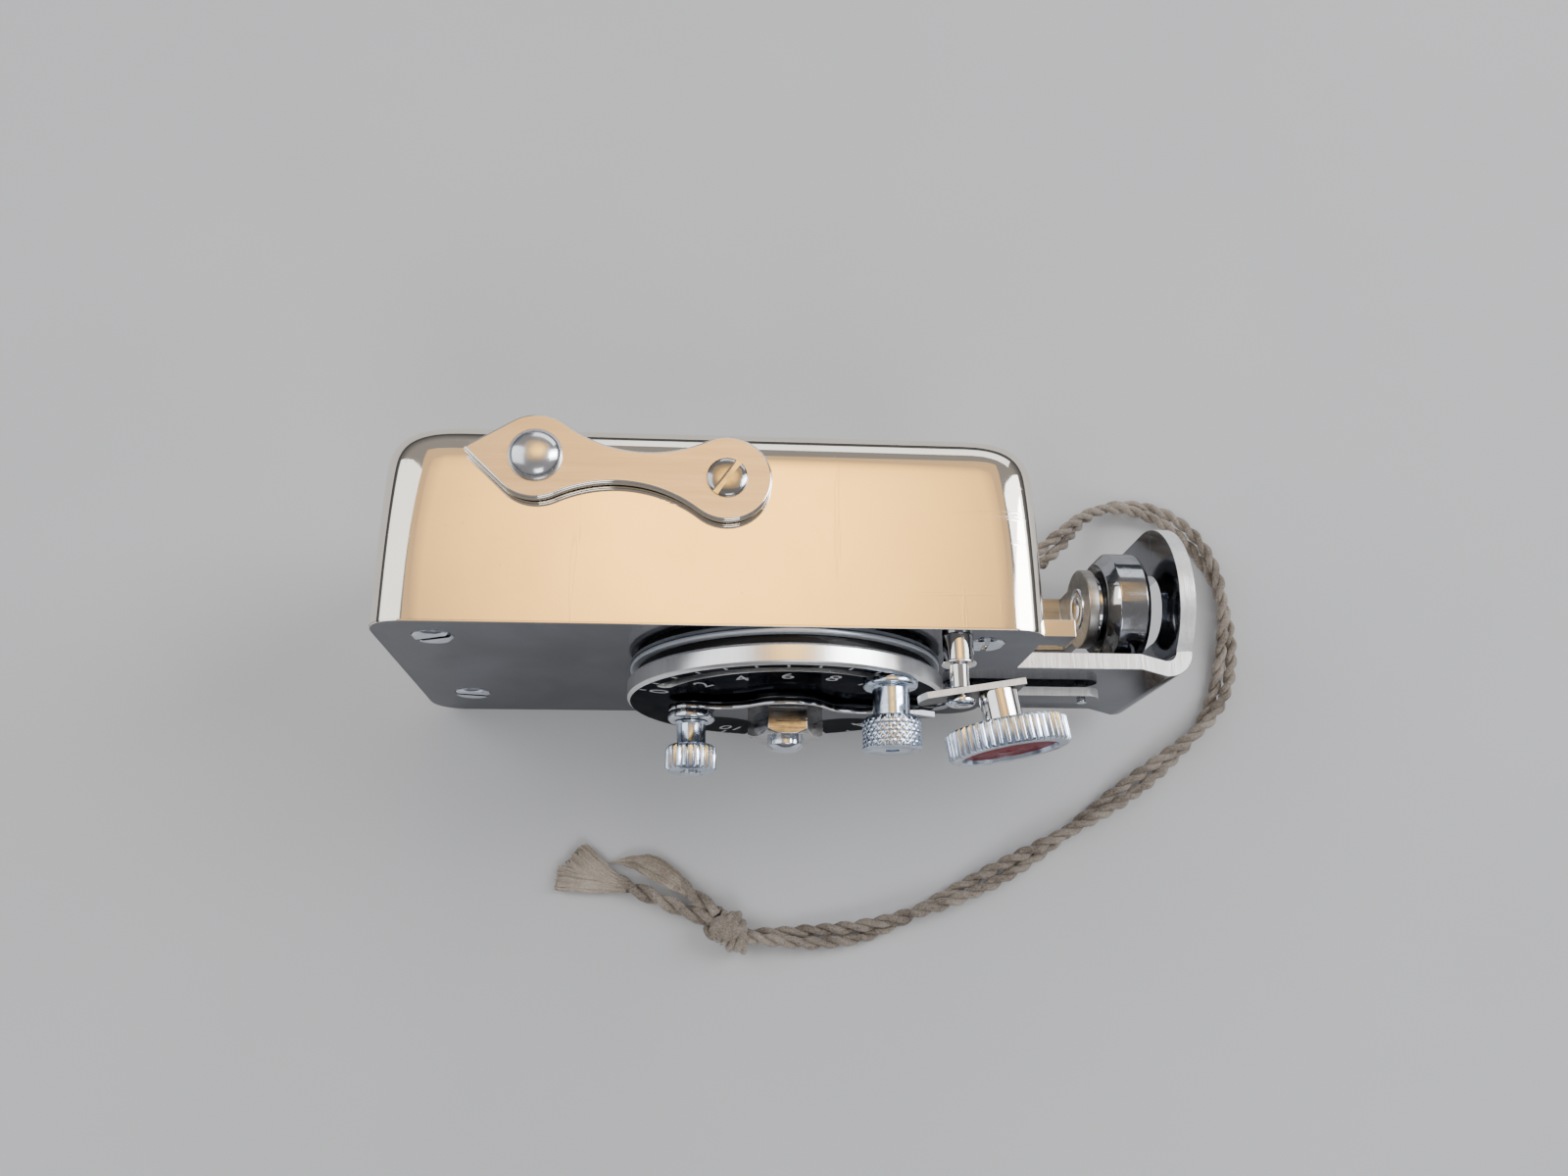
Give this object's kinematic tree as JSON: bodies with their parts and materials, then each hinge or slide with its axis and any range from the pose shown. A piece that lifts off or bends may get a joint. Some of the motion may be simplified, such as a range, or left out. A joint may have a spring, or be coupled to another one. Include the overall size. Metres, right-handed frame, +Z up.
{
  "type": "clockwork delayed-action release",
  "caption": "Pocket clockwork self-timer: a nickelled case with a winding hand on a round dial; as it runs down it pushes the button of a cable release held in the side fork.",
  "frame": {"origin": "centre of the flat foot that the case stands on", "axes": "+X towards the fork, +Y towards the closed back, so the dial faces -Y, +Z up"},
  "size_m": [0.0798, 0.0457, 0.032],
  "materials": {
    "nickel_case": "polished nickel with fine handling scratches",
    "nickel_plate": "polished nickel sheet with bright sheared edges",
    "movement_brass": "brushed brass",
    "movement_steel": "turned and ground steel",
    "spring_steel": "blued spring steel",
    "screw_steel": "slotted heads, nickelled",
    "dial_black": "black lacquer",
    "dial_face": "dark glossy face with a bright turned rim",
    "bright_hand": "polished",
    "knurled_nickel": "knurled and nickelled",
    "red_enamel": "glossy red enamel",
    "pusher_steel": "dull steel",
    "cup_nickel": "turned and nickelled",
    "satin_lever": "satin brushed face",
    "dome_nickel": "mirror polished",
    "cord_yarn": "twisted cotton string, greyed"
  },
  "bodies": {
    "housing": {"case_shell": "nickel_case", "front_plate": "nickel_plate", "movement_plate": "movement_brass", "movement_pillars": "movement_brass", "case_screws": "screw_steel", "movement_screws": "screw_steel", "cover_post": "movement_brass", "cover_screw": "screw_steel", "dial_flange": "nickel_plate", "dial_drum": "dial_black", "time_dial": "dial_face", "lever_stud": "knurled_nickel", "lever_cap": "screw_steel", "catch_screw": "screw_steel", "pusher_guides": "movement_brass", "mainspring": "spring_steel", "spring_post": "movement_steel", "selector_washer": "satin_lever", "cord_eyelet": "nickel_plate", "cord_bight": "cord_yarn", "cord_pair": "cord_yarn", "cord_knot": "cord_yarn", "cord_tail_long": "cord_yarn", "cord_tail_short": "cord_yarn"},
    "winding": {"winding_arbor": "movement_steel", "hand_washer": "movement_brass", "winding_hand": "bright_hand", "hand_nut": "bright_hand", "peg_post": "knurled_nickel", "great_wheel": "movement_brass", "ratchet_wheel": "movement_steel", "click": "movement_steel", "click_pin": "movement_steel"},
    "peg": {"winding_peg": "knurled_nickel"},
    "stop": {"time_stop": "knurled_nickel"},
    "stop_clamp": {"stop_knob": "knurled_nickel"},
    "starter": {"start_lever": "bright_hand", "start_stem": "knurled_nickel", "start_knob": "knurled_nickel", "start_inlay": "red_enamel"},
    "catch": {"catch_lever": "bright_hand", "catch_pin": "bright_hand"},
    "pusher": {"pusher_bar": "pusher_steel", "pusher_rack": "movement_steel", "pusher_cup": "cup_nickel", "pusher_rivet": "pusher_steel"},
    "second": {"second_arbor": "movement_steel", "second_wheel": "movement_brass", "second_pinion": "movement_steel"},
    "fly": {"fly_arbor": "movement_steel", "fly_pinion": "movement_steel", "fly_vane": "movement_brass"},
    "selector": {"selector_lever": "satin_lever", "selector_screw": "screw_steel", "selector_dome": "dome_nickel", "selector_cam": "movement_steel"}
  },
  "joints": [
    {"name": "winding_turn", "type": "hinge", "parent": "housing", "child": "winding", "pos_m": [0.0063, -0.00845, 0.0162], "axis": [0, 1, 0], "range_deg": [0, 110], "stiffness_Nm_per_rad": 0.0012, "springref_deg": -57.3},
    {"name": "peg_spin", "type": "hinge", "parent": "winding", "child": "peg", "pos_m": [-0.00159, -0.01445, 0.01661], "axis": [0, 1, 0], "continuous": true},
    {"name": "stop_slide_round", "type": "hinge", "parent": "housing", "child": "stop", "pos_m": [0.0063, -0.00845, 0.0162], "axis": [0, -1, 0], "range_deg": [0, 100]},
    {"name": "stop_clamp_turn", "type": "hinge", "parent": "stop", "child": "stop_clamp", "pos_m": [0.01391, -0.01445, 0.02495], "axis": [0, -1, 0], "range_deg": [0, 180]},
    {"name": "start_lever_swing", "type": "hinge", "parent": "housing", "child": "starter", "pos_m": [0.0189, -0.00845, 0.0274], "axis": [0, 1, 0], "range_deg": [0, 25], "stiffness_Nm_per_rad": 0.002},
    {"name": "catch_swing", "type": "hinge", "parent": "housing", "child": "catch", "pos_m": [0.0224, -0.00845, 0.0116], "axis": [0, 1, 0], "range_deg": [0, 15]},
    {"name": "pusher_slide", "type": "slide", "parent": "housing", "child": "pusher", "axis": [1, 0, 0], "range_m": [-0.00491, 0]},
    {"name": "second_wheel_turn", "type": "hinge", "parent": "housing", "child": "second", "pos_m": [-0.00216, -0.00845, 0.01928], "axis": [0, 1, 0], "range_deg": [-552, 2]},
    {"name": "fly_turn", "type": "hinge", "parent": "housing", "child": "fly", "pos_m": [-0.00946, -0.00845, 0.01758], "axis": [0, 1, 0], "range_deg": [-5, 2205]},
    {"name": "selector_swing", "type": "hinge", "parent": "housing", "child": "selector", "pos_m": [0.00085, 0.00315, 0.03], "axis": [0, 0, 1], "range_deg": [0, 20]}
  ],
  "couplings": [
    {"joint": "pusher_slide", "follows": "winding_turn", "m_per_rad": -0.00255},
    {"joint": "second_wheel_turn", "follows": "winding_turn", "ratio": -5},
    {"joint": "fly_turn", "follows": "winding_turn", "ratio": 20}
  ]
}
